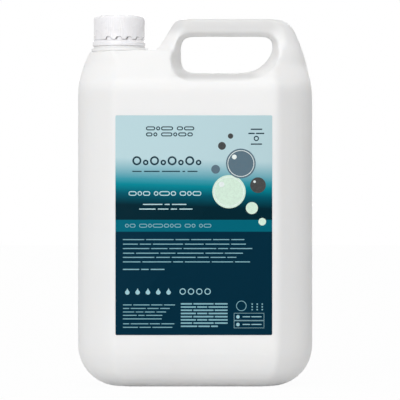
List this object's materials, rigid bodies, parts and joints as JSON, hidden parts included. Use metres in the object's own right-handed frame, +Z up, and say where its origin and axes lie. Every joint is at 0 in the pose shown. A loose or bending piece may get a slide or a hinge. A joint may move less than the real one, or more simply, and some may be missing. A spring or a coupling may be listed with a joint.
{
  "type": "hand soap refill can",
  "caption": "Upright plastic refill can of liquid hand soap with a moulded carrying handle, a screw cap with a tamper band, and a printed front label.",
  "frame": {"origin": "on the surface that the can stands on, under the middle of its base", "axes": "+Z up through the can, front label towards -Y, neck towards -X and handle towards +X"},
  "size_m": [0.189, 0.1262, 0.3003],
  "materials": {
    "can_plastic": "blow-moulded white polyethylene, satin, slightly translucent",
    "cap_plastic": "injection-moulded white plastic, soft sheen",
    "wad_foam": "dull foam sheet",
    "label_film": "printed film, pale aqua fading through teal to dark navy"
  },
  "bodies": {
    "can": {"can_body": "can_plastic", "tamper_band": "cap_plastic", "front_label": "label_film"},
    "wad": {"cap_wad": "wad_foam"},
    "cap": {"screw_cap": "cap_plastic"}
  },
  "joints": [
    {"name": "cap_rise", "type": "slide", "parent": "can", "child": "wad", "axis": [0, 0, 1], "range_m": [0, 0.0126]},
    {"name": "cap_turn", "type": "hinge", "parent": "wad", "child": "cap", "pos_m": [-0.0617, 0, 0.29], "axis": [0, 0, 1], "range_deg": [0, 1080]}
  ],
  "couplings": [
    {"joint": "cap_rise", "follows": "cap_turn", "m_per_rad": 0.000668}
  ]
}
